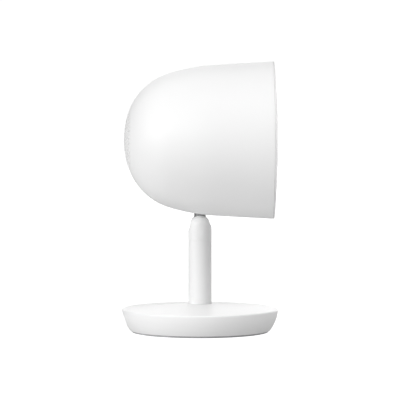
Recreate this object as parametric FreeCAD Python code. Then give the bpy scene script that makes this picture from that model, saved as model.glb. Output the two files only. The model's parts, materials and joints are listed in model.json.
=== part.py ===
import FreeCAD, Part
import math
import os

# A smart speaker with a camera: a bullet-shaped head on a slim hinged post and a weighted base.
# Millimetres. Z points up, the floor is z = 0, the post stands on the Z axis.
# The head lies along X: sound holes at its rounded end (-X), window at its flat end (+X).

# ---- base and post ----
BASE_R = 28.58            # widest radius, at the rim
BASE_RIM_Z = 8.31         # height of the rim's lip
BASE_FOOT_R = 25.75       # radius where the bowl side meets the foot pad
BASE_TOP_Z = 10.3         # height of the crowned top where the post stands
BASE_MIDDLE = (27.8, 4.45)    # radius and height half way up the bowl's side
BASE_LIP_R = 0.5          # rounding of the rim's lip
BASE_WALL = 1.6
SEAT_Z = BASE_TOP_Z - BASE_WALL
PAD_Z = 0.65              # thickness of the foot pad
PAD_R = 25.1
PAD_BORE_R = 13.0
PLATE_R = 23.6            # plate that closes the base from below
PLATE_TOP_Z = 2.0
WEIGHT_R = 22.6
POST_R = 4.27
POST_BORE_R = 3.35
POST_LOW_Z = 4.2
POST_FLOOR_Z = 12.0       # where the post's bore narrows to the bore of its spigot
SPIGOT_R = 3.5            # threaded end of the post, below the base's top
SPIGOT_BORE_R = 2.6
SCREW_R = 1.0             # of the screws that hold the base plate
FORK_Z = 33.6             # seam between the post tube and the fork
FORK_TOP_Z = 43.1         # top of the dome that the fork's two arms are cut from
FORK_ROUND_R = 3.9        # rounding of that dome
LEAD_WAY_R = 1.3          # bore that the lead comes up through
LEAD_R = 0.9

# ---- tilt hinge and neck ----
PIVOT_Z = 38.2            # height of the tilt hinge's axis
NECK_R = 2.13
SLOT_HALF = 2.3           # half the width of the fork's slot
LIP_X = 3.3               # where the relief of the slot's ends meets the fork's arms
REAR_LIP_Z = (36.4, 39.4)
FRONT_LIP_Z = (38.2, 40.0)
TILT_UP = 35.0            # degrees, the window looking up
TILT_DOWN = 30.0          # degrees, the window looking down
SWING_GAP = 0.32          # space round the neck as it swings
PIN_R = 0.8
COVER_R = 1.1             # plugs that hide the hinge's pins
COVER_Y = 3.4             # where the pins end and their plugs start
RUNNING = 0.05            # radial clearance of a turning pin

# ---- head ----
HEAD_Z = 70.1             # height of the head's axis
BACK_X = -27.79           # the rounded end
CROWN_R = 32.33           # the outline is three tangent arcs and a straight draft
CROWN_TURN = 16.9
SHOULDER_R = 22.79
SHOULDER_TURN = 73.2
FLANK_R = 72.91
DRAFT = 3.2
SEAM_X = 26.5             # joint between the shell and the front plate
SEAM_GAP = 0.06
RIM_X = 27.05             # edge of the front plate's crown
FRONT_X = 28.35           # middle of the front plate's crown
WALL = 1.8
JOURNAL_R = 1.75          # the part of the neck that turns in the head's bushing
SHOULDER_Z = 44.5         # where the neck steps down to the journal
NECK_TOP_Z = 52.0

# ---- sound holes ----
GRILLE_R = 10.7           # radius of the outermost ring of holes
HOLE_RINGS = 5
HOLE_R = 0.5
HOLE_PITCH = 1.6          # between neighbours in a ring

# ---- front ----
WINDOW_R = 11.4
LIGHTS_R = 8.0            # circle of the infrared lamps

V = FreeCAD.Vector
ALONG_X = V(1, 0, 0)
ALONG_Y = V(0, 1, 0)
ALONG_Z = V(0, 0, 1)
HEAD_AXIS = V(0, 0, HEAD_Z)
PIVOT = V(0, 0, PIVOT_Z)
BOSS_ANGLES = (90, 210, 330)


def save(shape, node):
    shape.exportStep("parts/" + node + ".step")


def base_place(radius, z):
    return V(radius, 0, z)


def head_place(x, radius):
    return V(x, 0, HEAD_Z + radius)


def closed_face(steps, place):
    """Face inside an outline. A step is a point, or a pair of points: an arc's middle and end."""
    corner = place(*steps[0])
    edges = []
    for step in steps[1:] + steps[:1]:
        if isinstance(step[0], tuple):
            end = place(*step[1])
            edges.append(Part.Arc(corner, place(*step[0]), end).toShape())
        else:
            end = place(*step)
            edges.append(Part.LineSegment(corner, end).toShape())
        corner = end
    return Part.Face(Part.Wire(edges))


def base_turned(steps):
    return closed_face(steps, base_place).revolve(V(0, 0, 0), ALONG_Z, 360)


def head_turned(steps):
    return closed_face(steps, head_place).revolve(HEAD_AXIS, ALONG_X, 360)


def upright(z0, z1, radius, x=0, y=0):
    return Part.makeCylinder(radius, z1 - z0, V(x, y, z0), ALONG_Z)


def tube_up(z0, z1, radius, bore, x=0, y=0):
    return upright(z0, z1, radius, x, y).cut(upright(z0 - 1, z1 + 1, bore, x, y))


def peg(x0, x1, radius, y=0, z=0):
    """Cylinder along X; y and z are measured from the head's axis."""
    return Part.makeCylinder(radius, x1 - x0, V(x0, y, HEAD_Z + z), ALONG_X)


def ring(x0, x1, radius, bore):
    return peg(x0, x1, radius).cut(peg(x0 - 1, x1 + 1, bore))


def block(x, y, z):
    """Box between three pairs of limits."""
    return Part.makeBox(x[1] - x[0], y[1] - y[0], z[1] - z[0], V(x[0], y[0], z[0]))


def head_block(x, y, z):
    """Box whose height limits are measured from the head's axis."""
    return block(x, y, (HEAD_Z + z[0], HEAD_Z + z[1]))


def group(shapes):
    return Part.makeCompound(shapes)


def around(radius, angles):
    """Places (y, z) on a circle about the head's axis."""
    return [(radius * math.cos(math.radians(a)), radius * math.sin(math.radians(a))) for a in angles]


def dome_arc(edge, tip_x):
    """Arc step from a point on the outline to the axis, square to it at the tip."""
    rise = tip_x - edge[0]
    radius = (rise ** 2 + edge[1] ** 2) / (2 * rise)
    half = math.asin(edge[1] / radius) / 2
    return ((tip_x - radius * (1 - math.cos(half)), radius * math.sin(half)), (tip_x, 0))


def joined(first, others):
    return first.fuse(others).removeSplitter()


# ---------------------------------------------------------------- base

def base_top(radius):
    """Height of the base's shallow conical top."""
    slope = (BASE_TOP_Z - BASE_RIM_Z - 0.1) / (BASE_R - BASE_LIP_R - POST_R)
    return BASE_TOP_Z - slope * (radius - POST_R)


def base_shell():
    lip = BASE_LIP_R
    bend = lip * (1 - math.sqrt(0.5))
    lip_z = base_top(BASE_R - lip)
    inner_r = BASE_R - BASE_WALL - 0.35
    shell = base_turned([
        (BASE_FOOT_R, PAD_Z),
        (BASE_MIDDLE, (BASE_R, lip_z - lip)),
        ((BASE_R - bend, lip_z - bend), (BASE_R - lip, lip_z)),
        (POST_R, BASE_TOP_Z),
        (SPIGOT_R + RUNNING, BASE_TOP_Z),
        (SPIGOT_R + RUNNING, SEAT_Z),
        (7.0, SEAT_Z),
        (inner_r, base_top(inner_r) - BASE_WALL),
        ((BASE_MIDDLE[0] - BASE_WALL, BASE_MIDDLE[1] - 0.45), (BASE_FOOT_R - BASE_WALL + 0.15, PAD_Z)),
    ])
    return shell.cut(socket_mouth())


SOCKET_Z = 4.55
SOCKET_HALF_Y = 4.47
SOCKET_HALF_Z = 1.63
SOCKET_X = (-26.2, -18.9)


def oblong(x, half_y, half_z, z):
    """Flat-sided bar along X with round ends."""
    bar = block(x, (half_z - half_y, half_y - half_z), (z - half_z, z + half_z))
    ends = [Part.makeCylinder(half_z, x[1] - x[0], V(x[0], s * (half_y - half_z), z), ALONG_X)
            for s in (-1, 1)]
    return joined(bar, ends)


def socket_mouth():
    room = 0.3
    return oblong((-30, -24), SOCKET_HALF_Y + room, SOCKET_HALF_Z + room, SOCKET_Z)


def power_socket():
    wall = 0.32
    tongue_half = 0.35
    can = oblong(SOCKET_X, SOCKET_HALF_Y, SOCKET_HALF_Z, SOCKET_Z)
    hollow = oblong((SOCKET_X[0] - 1, SOCKET_X[1] - 1), SOCKET_HALF_Y - wall,
                    SOCKET_HALF_Z - wall, SOCKET_Z)
    tongue = block((SOCKET_X[0] + 0.6, SOCKET_X[1] - 0.9), (-3.3, 3.3),
                   (SOCKET_Z - tongue_half, SOCKET_Z + tongue_half))
    return joined(can.cut(hollow), [tongue])


POWER_BOARD_X = (-23.4, -9.5)
POWER_BOARD_Z = (PLATE_TOP_Z, SOCKET_Z - SOCKET_HALF_Z)


def power_board():
    return block(POWER_BOARD_X, (-6.5, 6.5), POWER_BOARD_Z)


SCREW_CIRCLE = 17.0
SCREW_ANGLES = (0, 120, 240)
SCREW_END_Z = 6.0
DRIVE_R = 0.65


def base_screw_places():
    return [(SCREW_CIRCLE * math.cos(math.radians(a)), SCREW_CIRCLE * math.sin(math.radians(a)))
            for a in SCREW_ANGLES]


def base_screw(x, y):
    """Countersunk screw with a round drive."""
    screw = base_turned([(0, PAD_Z + 0.5), (DRIVE_R, PAD_Z + 0.5), (DRIVE_R, PAD_Z), (1.9, PAD_Z),
                         (SCREW_R, PAD_Z + 0.9), (SCREW_R, SCREW_END_Z), (0, SCREW_END_Z)])
    screw.translate(V(x, y, 0))
    return screw


def base_screws():
    return group([base_screw(x, y) for x, y in base_screw_places()])


def base_plate():
    plate = upright(PAD_Z, PLATE_TOP_Z, PLATE_R)
    holes = [base_screw(x, y).fuse(upright(PAD_Z, 1.4, 0.7, x, y)) for x, y in base_screw_places()]
    return plate.cut(holes)


WEIGHT_Z = 2.3
NUT_Z = (4.5, 7.0)


def base_weight():
    bore = SPIGOT_R + 0.1
    weight = base_turned([(bore, WEIGHT_Z), (WEIGHT_R, WEIGHT_Z), (WEIGHT_R, 6.3), (8.0, 7.8),
                          (6.0, SEAT_Z), (bore, SEAT_Z)])
    nut_pocket = upright(0, NUT_Z[1], 6.9)
    board_bay = block((-30, -8.6), (-8, 8), (0, 9))
    lead_way = block((-9, 0), (-1.6, 1.6), (0, 4.4))
    holes = [upright(0, SCREW_END_Z, SCREW_R, x, y) for x, y in base_screw_places()]
    return weight.cut([nut_pocket, board_bay, lead_way] + holes)


def foot_pad():
    return tube_up(0, PAD_Z, PAD_R, PAD_BORE_R)


def post_tube():
    return base_turned([(SPIGOT_R, POST_LOW_Z), (SPIGOT_R, BASE_TOP_Z), (POST_R, BASE_TOP_Z),
                        (POST_R, FORK_Z), (POST_BORE_R, FORK_Z), (POST_BORE_R, POST_FLOOR_Z),
                        (SPIGOT_BORE_R, POST_FLOOR_Z), (SPIGOT_BORE_R, POST_LOW_Z)])


def post_nut():
    flat_r = 5.5
    corner_r = flat_r / math.cos(math.radians(30))
    corners = [V(corner_r * math.cos(math.radians(60 * i)), corner_r * math.sin(math.radians(60 * i)),
                 NUT_Z[0]) for i in range(7)]
    nut = Part.Face(Part.makePolygon(corners)).extrude(V(0, 0, NUT_Z[1] - NUT_Z[0]))
    return nut.cut(upright(0, 9, SPIGOT_R))


def bent_lead(start, corner, end, bend):
    """Round lead along two straight runs with one tangent arc between them."""
    back = (start - corner).normalize()
    onward = (end - corner).normalize()
    turn_in = corner + back * bend
    turn_out = corner + onward * bend
    middle = corner + (back + onward) * bend * (1 - 1 / math.sqrt(2))
    route = Part.Wire([
        Part.LineSegment(start, turn_in).toShape(),
        Part.Arc(turn_in, middle, turn_out).toShape(),
        Part.LineSegment(turn_out, end).toShape(),
    ])
    section = Part.Wire(Part.Circle(start, back, LEAD_R).toShape())
    return route.makePipeShell([section], True, False)


def post_lead():
    """From the power board along the base, then up the post."""
    level = 3.05
    return bent_lead(V(POWER_BOARD_X[1] + 0.1, 0, level), V(0, 0, level), V(0, 0, PIVOT_Z - 2.75), 3.0)


# ---------------------------------------------------------------- tilt hinge

def swing_room():
    """Space that the neck sweeps in the fork, from its rearmost to its foremost lean."""
    reach = 9.0
    half = NECK_R + SWING_GAP
    up = math.radians(TILT_UP)
    down = math.radians(TILT_DOWN)
    front = (half * math.cos(down), -half * math.sin(down))
    rear = (-half * math.cos(up), -half * math.sin(up))
    outline = [front,
               (front[0] + reach * math.sin(down), front[1] + reach * math.cos(down)),
               (rear[0] - reach * math.sin(up), rear[1] + reach * math.cos(up)),
               rear]
    wedge = closed_face(outline, lambda x, z: V(x, -SLOT_HALF, PIVOT_Z + z))
    wedge = wedge.extrude(V(0, 2 * SLOT_HALF, 0))
    barrel = Part.makeCylinder(half, 2 * SLOT_HALF, V(0, -SLOT_HALF, PIVOT_Z), ALONG_Y)
    return joined(wedge, [barrel])


def slot_lip(side, rise):
    """Relief that rounds off the slot's floor where it meets the outside of the fork."""
    low_z, high_z = rise
    inner_x = LIP_X
    outline = [(side * (POST_R + 0.3), low_z - 0.9),
               ((side * (inner_x + 0.62), (low_z + high_z) / 2), (side * inner_x, high_z)),
               (side * inner_x, FORK_TOP_Z + 1),
               (side * (POST_R + 0.3), FORK_TOP_Z + 1)]
    face = closed_face(outline, lambda x, z: V(x, -SLOT_HALF, z))
    return face.extrude(V(0, 2 * SLOT_HALF, 0))


def cover_seats():
    """Space of the two plugs, out to past the post's surface."""
    length = 3.0
    return [Part.makeCylinder(COVER_R, length, V(0, y, PIVOT_Z), ALONG_Y)
            for y in (COVER_Y, -COVER_Y - length)]


def post_fork():
    top_r = POST_R - FORK_ROUND_R
    bend = FORK_ROUND_R * math.sqrt(0.5)
    fork = base_turned([
        (LEAD_WAY_R, FORK_Z - 5), (POST_BORE_R, FORK_Z - 5), (POST_BORE_R, FORK_Z), (POST_R, FORK_Z),
        (POST_R, FORK_TOP_Z - FORK_ROUND_R),
        ((top_r + bend, FORK_TOP_Z - FORK_ROUND_R + bend), (top_r, FORK_TOP_Z)),
        (top_r, PIVOT_Z), (LEAD_WAY_R, PIVOT_Z),
    ])
    cross_hole = Part.makeCylinder(PIN_R, 12, V(0, -6, PIVOT_Z), ALONG_Y)
    return fork.cut([swing_room(), cross_hole, slot_lip(-1, REAR_LIP_Z), slot_lip(1, FRONT_LIP_Z)]
                    + cover_seats())


def hinge_pins():
    length = 2.1
    return group([Part.makeCylinder(PIN_R, length, V(0, y, PIVOT_Z), ALONG_Y)
                  for y in (-COVER_Y, COVER_Y - length)])


def pin_covers():
    """Plugs over the pins, shaved to the post's own curve."""
    outside = upright(PIVOT_Z - 3, PIVOT_Z + 3, POST_R)
    return group([seat.common(outside) for seat in cover_seats()])


def hinge_washers():
    thick = SLOT_HALF - BARREL_HALF - RUNNING
    washers = []
    for y in (BARREL_HALF, -BARREL_HALF - thick):
        disc = Part.makeCylinder(1.75, thick, V(0, y, PIVOT_Z), ALONG_Y)
        hole = Part.makeCylinder(PIN_R + RUNNING, 1, V(0, y - 0.5, PIVOT_Z), ALONG_Y)
        washers.append(disc.cut(hole))
    return group(washers)


CLIP_Z = (50.15, 50.85)
GROOVE_R = 1.4            # bottom of the clip's groove
BARREL_R = 2.05
BARREL_HALF = 1.9         # half the width of the barrel between its washers


def neck_rod():
    rod = upright(PIVOT_Z, SHOULDER_Z, NECK_R)
    barrel = Part.makeCylinder(BARREL_R, 4 * NECK_R, V(0, -2 * NECK_R, PIVOT_Z), ALONG_Y)
    sides = [block((-3, 3), (min(y), max(y)), (PIVOT_Z - 3, PIVOT_Z + 2.3))
             for y in ((BARREL_HALF, 9), (-BARREL_HALF, -9))]
    journal = upright(SHOULDER_Z, NECK_TOP_Z, JOURNAL_R)
    rod = joined(rod.fuse(barrel).cut(sides), [journal])
    cross_hole = Part.makeCylinder(PIN_R + RUNNING, 8, V(0, -4, PIVOT_Z), ALONG_Y)
    bore = upright(PIVOT_Z - 4, NECK_TOP_Z + 1, LEAD_R + 0.1)
    groove = tube_up(CLIP_Z[0], CLIP_Z[1], 3.0, GROOVE_R)
    return rod.cut([cross_hole, bore, groove])


def neck_lead():
    return upright(PIVOT_Z + 1.2, NECK_TOP_Z + 0.2, LEAD_R)


WASHER_Z = (48.85, 49.35)
WASHER_R = 4.2
STOP_R = 5.2              # circle on which the stop's tab and the bracket's pin meet
STOP_PIN_R = 0.5


def pan_washer():
    return tube_up(WASHER_Z[0], WASHER_Z[1], WASHER_R, JOURNAL_R)


def pan_stop():
    disc = upright(WASHER_Z[1], CLIP_Z[0], WASHER_R)
    tab = block((3, STOP_R + STOP_PIN_R), (-STOP_PIN_R, STOP_PIN_R), (WASHER_Z[1], CLIP_Z[0]))
    return joined(disc, [tab]).cut(upright(40, 60, JOURNAL_R))


def neck_clip():
    clip = tube_up(CLIP_Z[0], CLIP_Z[1], 3.2, GROOVE_R)
    return clip.cut(block((0, 5), (-1.1, 1.1), (CLIP_Z[0] - 1, CLIP_Z[1] + 1)))


# ---------------------------------------------------------------- head shell and front

SKIN_TURNS = (0, CROWN_TURN, SHOULDER_TURN, 90 - DRAFT)


def skin_point(centre, radius, turn):
    """Point on an arc; turn is the angle between the arc's normal and the head's axis."""
    turn = math.radians(turn)
    return (centre[0] - radius * math.cos(turn), centre[1] + radius * math.sin(turn))


def skin_arcs():
    """Centre and radius of the outline's crown, shoulder and flank."""
    crown = (BACK_X + CROWN_R, 0.0)
    shoulder = skin_point(crown, CROWN_R - SHOULDER_R, CROWN_TURN)
    flank = skin_point(shoulder, SHOULDER_R - FLANK_R, SHOULDER_TURN)
    return ((crown, CROWN_R), (shoulder, SHOULDER_R), (flank, FLANK_R))


def skin(inset, end_x):
    """Solid inside the head's outer surface, drawn in by inset and cut flat at end_x."""
    steps = [(BACK_X + inset, 0.0)]
    for i, (centre, radius) in enumerate(skin_arcs()):
        middle = skin_point(centre, radius - inset, (SKIN_TURNS[i] + SKIN_TURNS[i + 1]) / 2)
        steps.append((middle, skin_point(centre, radius - inset, SKIN_TURNS[i + 1])))
    last_x, last_r = steps[-1][1]
    end_r = last_r + (end_x - last_x) * math.tan(math.radians(DRAFT))
    return head_turned(steps + [(end_x, end_r), (end_x, 0.0)])


def rim_radius(x):
    """Outer radius on the straight draft."""
    flank, radius = skin_arcs()[-1]
    last_x, last_r = skin_point(flank, radius, SKIN_TURNS[-1])
    return last_r + (x - last_x) * math.tan(math.radians(DRAFT))


def sound_holes():
    """Rings of holes round one in the middle, every second ring turned by half a pitch."""
    holes = [peg(BACK_X - 2, BACK_X + 6, HOLE_R)]
    for step in range(1, HOLE_RINGS + 1):
        radius = GRILLE_R * step / HOLE_RINGS
        count = 2 * round(math.pi * radius / HOLE_PITCH)
        for index in range(count):
            angle = 2 * math.pi * (index + 0.5 * (step % 2)) / count
            holes.append(peg(BACK_X - 2, BACK_X + 6, HOLE_R,
                             -radius * math.cos(angle), radius * math.sin(angle)))
    return group(holes)


BUTTON_X = 17.0
BUTTON_R = 2.2
CHASSIS_X = (10.0, 12.0)
CHASSIS_BOSS_R = 23.8     # circle of the shell's pillars for the chassis
CHAMBER_BOSS_R = 18.5     # and for the speaker chamber
CHAMBER_EAR_X = (-13.0, -11.5)
PILLAR_R = 2.4
EAR_R = 2.0
BUSHING_R = 3.2


def rear_shell():
    inside = skin(WALL, SEAM_X + 2)
    shell = skin(0, SEAM_X).cut(inside)
    within = skin(WALL / 2, SEAM_X)
    posts = [peg(2, CHASSIS_X[0], PILLAR_R, y, z) for y, z in around(CHASSIS_BOSS_R, BOSS_ANGLES)]
    posts += [peg(-24, CHAMBER_EAR_X[0], EAR_R, y, z) for y, z in around(CHAMBER_BOSS_R, BOSS_ANGLES)]
    shell = joined(shell, [post.common(within) for post in posts])
    pilots = [peg(4, 11, 0.9, y, z) for y, z in around(CHASSIS_BOSS_R, BOSS_ANGLES)]
    pilots += [peg(-19, -12, 0.7, y, z) for y, z in around(CHAMBER_BOSS_R, BOSS_ANGLES)]
    neck_hole = upright(40, 47, NECK_R + SWING_GAP)
    bushing_seat = upright(SHOULDER_Z - 0.15, 48, BUSHING_R + 0.25)
    button_hole = upright(40, 47, BUTTON_R + 0.2, BUTTON_X)
    shell = shell.cut(pilots + [neck_hole, bushing_seat, button_hole])
    return shell.cut(sound_holes())


def crown_radius():
    rise = FRONT_X - RIM_X
    return (rim_radius(RIM_X) ** 2 + rise ** 2) / (2 * rise)


def crown_x(radius):
    """Distance along X of the front plate's crowned face."""
    return FRONT_X - crown_radius() + math.sqrt(crown_radius() ** 2 - radius ** 2)


SEAT_X = 26.9             # face that the window's seal lies on
PLATE_X = 25.4            # back of the front plate
SEAL_X = SEAT_X + 0.2
SEAL_BORE_R = WINDOW_R - 0.8
LIP_END_X = 22.5          # end of the plate's lip inside the shell
MIC_R = 20.0              # circle of the microphones
MIC_ANGLES = (60, 120)


def front_bezel():
    edge = 0.35
    rim_r = rim_radius(RIM_X)
    lip_r = rim_radius(SEAM_X) - WALL - 0.1
    bezel = head_turned([
        (SEAT_X, WINDOW_R + 0.1), (crown_x(WINDOW_R + 0.1), WINDOW_R + 0.1),
        ((crown_x(MIC_R), MIC_R), (crown_x(rim_r - edge), rim_r - edge)),
        ((RIM_X - 0.08, rim_r - 0.1), (RIM_X - edge + 0.05, rim_r - 0.02)),
        (SEAM_X + SEAM_GAP, rim_radius(SEAM_X + SEAM_GAP)),
        (SEAM_X + SEAM_GAP, lip_r), (LIP_END_X, lip_r - 0.25), (LIP_END_X, lip_r - 1.5),
        (PLATE_X, lip_r - 1.5), (PLATE_X, SEAL_BORE_R), (SEAT_X, SEAL_BORE_R),
    ])
    microphone_holes = [peg(20, 30, 0.45, y, z) for y, z in around(MIC_R, MIC_ANGLES)]
    return bezel.cut(microphone_holes)


def front_window():
    return head_turned([(SEAL_X, 0), (SEAL_X, WINDOW_R), (crown_x(WINDOW_R) - 0.1, WINDOW_R),
                        (crown_x(WINDOW_R - 0.1), WINDOW_R - 0.1),
                        ((crown_x(6), 6), (FRONT_X, 0))])


def window_seal():
    return ring(SEAT_X, SEAL_X, WINDOW_R, SEAL_BORE_R)


LAMP_ANGLES = (35, 145, 215, 325)
STATUS_Z = -LIGHTS_R
MASK_X = (25.8, 26.4)


def window_mask():
    mask = ring(MASK_X[0], MASK_X[1], SEAL_BORE_R, 5.0)
    openings = [peg(25, 27, 1.9, y, z) for y, z in around(LIGHTS_R, LAMP_ANGLES)]
    openings.append(peg(25, 27, 0.85, 0, STATUS_Z))
    return mask.cut(openings)


# ---------------------------------------------------------------- inside the head

BOARD_POST = 13.0         # of the main board's pillars, sideways and up from the head's axis
BOARD_X = (4.8, 6.0)
FRONT_BOARD_X = (21.9, 22.9)
FRONT_POST_R = 17.0
FRONT_POST_ANGLES = (0, 90, 180, 270)


def corners(half):
    return [(y, z) for y in (-half, half) for z in (-half, half)]


def chassis():
    plate = peg(CHASSIS_X[0], CHASSIS_X[1], 25.5)
    posts = [peg(BOARD_X[1], CHASSIS_X[0] + 1, 2.0, y, z) for y, z in corners(BOARD_POST)]
    posts += [peg(CHASSIS_X[1] - 1, FRONT_BOARD_X[0], 1.8, y, z)
              for y, z in around(FRONT_POST_R, FRONT_POST_ANGLES)]
    plate = joined(plate, posts)
    cuts = [peg(9, 13, 1.1, y, z) for y, z in around(CHASSIS_BOSS_R, BOSS_ANGLES)]
    cuts += [peg(5, 8.5, 0.7, y, z) for y, z in corners(BOARD_POST)]
    cuts += [peg(19, 23, 0.7, y, z) for y, z in around(FRONT_POST_R, FRONT_POST_ANGLES)]
    cuts += [peg(9, 13, 0.8, y, z) for y, z in BRACKET_SCREWS]
    cuts += [head_block((9, 13), (-6, 6), (9.5, 14.5)), head_block((9, 13), (-20.5, -15.5), (-6, 6)),
             head_block((9, 13), (15.5, 20.5), (-6, 6))]
    return plate.cut(cuts)


def pan_head_screw(x, direction, radius, length, y, z):
    """Screw along X: a domed head on x and a shank that points along direction."""
    head = Part.makeCylinder(radius * 1.9, 0.9, V(x, y, HEAD_Z + z), ALONG_X * -direction)
    shank = Part.makeCylinder(radius, length, V(x, y, HEAD_Z + z), ALONG_X * direction)
    drive = Part.makeCylinder(radius * 0.7, 0.5, V(x - direction * 0.9, y, HEAD_Z + z),
                              ALONG_X * direction)
    return joined(head, [shank]).cut(drive)


def chassis_screws():
    return group([pan_head_screw(CHASSIS_X[1], -1, 0.9, 7.5, y, z)
                  for y, z in around(CHASSIS_BOSS_R, BOSS_ANGLES)])


def board_screws():
    rear = [pan_head_screw(BOARD_X[0], 1, 0.7, 3.4, y, z) for y, z in corners(BOARD_POST)]
    front = [pan_head_screw(FRONT_BOARD_X[1], -1, 0.7, 3.4, y, z)
             for y, z in around(FRONT_POST_R, FRONT_POST_ANGLES)]
    return group(rear + front)


PLATE_Z = (46.7, 48.0)
FLANGE_X = (8.8, CHASSIS_X[0])
BRACKET_SCREWS = ((-5.5, -16.6), (5.5, -16.6))


def pan_bracket():
    """Bent plate that hangs the head's chassis on the bushing."""
    end_r = STOP_R + 1.3
    plate = upright(PLATE_Z[0], PLATE_Z[1], end_r).common(block((-9, 3), (-end_r, end_r), (40, 60)))
    arm = block((0, FLANGE_X[1]), (-5.5, 5.5), PLATE_Z)
    flange = block(FLANGE_X, (-8, 8), (PLATE_Z[1] - 0.5, 56.2))
    stop = upright(PLATE_Z[0], 50.6, STOP_PIN_R, -STOP_R)
    bracket = joined(plate, [arm, flange, stop])
    holes = [peg(8, 11, 0.8, y, z) for y, z in BRACKET_SCREWS]
    return bracket.cut(holes + [upright(40, 60, BUSHING_R)])


def bracket_screws():
    return group([pan_head_screw(FLANGE_X[0], 1, 0.8, 3.0, y, z) for y, z in BRACKET_SCREWS])


def pan_bushing():
    sleeve = upright(SHOULDER_Z + 0.05, PLATE_Z[1], BUSHING_R)
    flange = upright(PLATE_Z[1], 48.8, 4.3)
    return joined(sleeve, [flange]).cut(upright(40, 60, JOURNAL_R + RUNNING))


def main_board():
    board = joined(peg(BOARD_X[0], BOARD_X[1], 20.8), [head_block(CHIP_X, (-6, 6), (-4, 8))])
    cuts = [peg(4, 7, 0.75, y, z) for y, z in corners(BOARD_POST)]
    cuts.append(head_block((4, 7), (-22, 22), (-22, -17.4)))
    return board.cut(cuts)


CAN_X = (2.6, BOARD_X[0])
CHIP_X = (3.2, BOARD_X[0])


def shield_can():
    can = head_block(CAN_X, (-9, 9), (-7, 11))
    return can.cut(head_block((CAN_X[0] + 0.3, 6), (-8.7, 8.7), (-6.7, 10.7)))


def heat_spreader():
    return head_block((1.4, CAN_X[0]), (-11, 11), (-8.5, 13))


def antennas():
    return group([head_block((CHASSIS_X[1], CHASSIS_X[1] + 0.5), (s - 5, s + 5), (17.5, 21.5))
                  for s in (-8.5, 8.5)])


CONNECTOR_X = 2.4
CONNECTOR_Z = -13.0


def lead_connector():
    return head_block((CONNECTOR_X, BOARD_X[0]), (-2.5, 2.5), (CONNECTOR_Z - 1.8, CONNECTOR_Z + 1.8))


def head_lead():
    level = HEAD_Z + CONNECTOR_Z
    return bent_lead(V(CONNECTOR_X, 0, level), V(0, 0, level), V(0, 0, NECK_TOP_Z + 0.35), 2.0)


# ---------------------------------------------------------------- camera

SENSOR_BOARD_X = (12.4, 13.4)
HOLDER_X = (SENSOR_BOARD_X[1], 19.0)
FILTER_X = (15.75, 16.25)
FILTER_STEP = 6.2         # travel that swaps one pane for the other
LENS_R = 4.8


def sensor_board():
    return head_block(SENSOR_BOARD_X, (-11.5, 11.5), (-8.5, 8.5))


def image_sensor():
    return head_block((HOLDER_X[0], 14.7), (-3.6, 3.6), (-3, 3))


def lens_holder():
    holder = head_block(HOLDER_X, (-11.2, 11.2), (-7, 7))
    sensor_well = head_block((13, 15.5), (-4.2, 4.2), (-3.6, 3.6))
    track = head_block((FILTER_X[0] - 0.35, FILTER_X[1] + 0.35), (-10.2, 10.2), (-3.6, 3.6))
    return holder.cut([sensor_well, track, peg(16, 20, LENS_R)])


def ir_filter():
    """Frame with two panes, side by side across the lens."""
    half = FILTER_STEP / 2
    return head_block(FILTER_X, (-FILTER_STEP - half, half), (-3.2, 3.2))


def lens_barrel():
    return head_turned([(16.9, 2.6), (16.9, LENS_R), (21.0, LENS_R), (21.0, 5.5), (24.9, 5.5),
                        (24.9, 4.5), (22.9, 4.1), (22.9, 3.4), (17.5, 3.4), (17.5, 2.6)])


def lens_elements():
    front = head_turned([(22.9, 0), (22.9, 4.05), (23.9, 4.15), dome_arc((23.9, 4.15), 25.1)])
    middle = head_turned([(20.4, 0), (20.4, 3.4), (21.3, 3.4), dome_arc((21.3, 3.4), 21.9)])
    rear = head_turned([(19.2, 0), (19.2, 3.4), (18.2, 3.4), dome_arc((18.2, 3.4), 17.5)])
    return group([front, middle, rear])


def front_board():
    board = ring(FRONT_BOARD_X[0], FRONT_BOARD_X[1], 21.5, 6.0)
    return board.cut([peg(21, 24, 0.75, y, z) for y, z in around(FRONT_POST_R, FRONT_POST_ANGLES)])


def ir_lamps():
    lamps = []
    for y, z in around(LIGHTS_R, LAMP_ANGLES):
        foot = head_block((FRONT_BOARD_X[1], 24.2), (y - 1.5, y + 1.5), (z - 1.5, z + 1.5))
        dome = Part.makeSphere(1.3, V(24.2, y, HEAD_Z + z))
        lamps.append(joined(foot, [dome]).cut(peg(15, FRONT_BOARD_X[1], 3, y, z)))
    return group(lamps)


def status_light():
    return peg(FRONT_BOARD_X[1], MASK_X[1], 0.8, 0, STATUS_Z)


def microphones():
    return group([head_block((FRONT_BOARD_X[1], 24.1), (y - 1.9, y + 1.9), (z - 1.4, z + 1.4))
                  for y, z in around(MIC_R, MIC_ANGLES)])


# ---------------------------------------------------------------- speaker

FLANGE_FACE = -21.6
CHAMBER_FACE = -20.6
CHAMBER_END = -2.6
CHAMBER_R = 15.6
TOP_PLATE_X = (-15.0, -13.5)
YOKE_X = (-10.5, -9.0)
COIL_R = 4.6
COIL_END_X = -11.7
CONE_X = -17.4            # back of the cone, where the coil is glued
CONE_RIM_R = 10.3
CAP_R = 4.2               # the cap over the coil
ROLL_R = 11.3             # middle of the surround's roll
PAPER = 0.5               # thickness of the cone


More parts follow.
